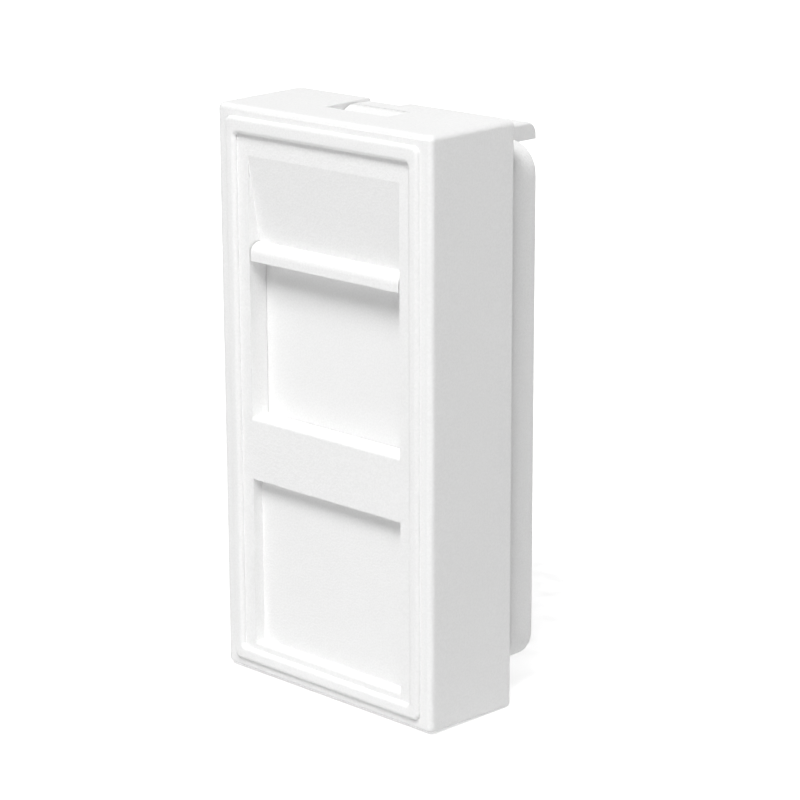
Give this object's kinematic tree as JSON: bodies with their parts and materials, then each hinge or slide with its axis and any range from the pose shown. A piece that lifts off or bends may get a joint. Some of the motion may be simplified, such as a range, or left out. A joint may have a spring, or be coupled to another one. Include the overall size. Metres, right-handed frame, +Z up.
{
  "type": "shuttered keystone faceplate",
  "caption": "Slim upright snap-in faceplate module for a keystone jack, with a raised border, a sprung sliding dust shutter with a finger lip, a label recess and a rear latch tongue.",
  "frame": {"origin": "middle of the module's bounding box at the level of its lower edge", "axes": "+X to the right seen from the front, +Y from the face to the back, +Z up"},
  "size_m": [0.025, 0.0186, 0.05],
  "materials": {
    "bezel_plastic": "fine matte grain",
    "shutter_plastic": "satin",
    "carrier_plastic": "satin",
    "spring_steel": "drawn wire"
  },
  "bodies": {
    "housing": {"bezel": "bezel_plastic", "carrier": "carrier_plastic", "return_spring": "spring_steel"},
    "shutter": {"shutter": "shutter_plastic"}
  },
  "joints": [
    {"name": "shutter_slide", "type": "slide", "parent": "housing", "child": "shutter", "axis": [0, 0, -1], "range_m": [0, 0.0136], "stiffness_N_per_m": 75, "springref_m": -0.0067, "deforming": ["return_spring"]}
  ]
}
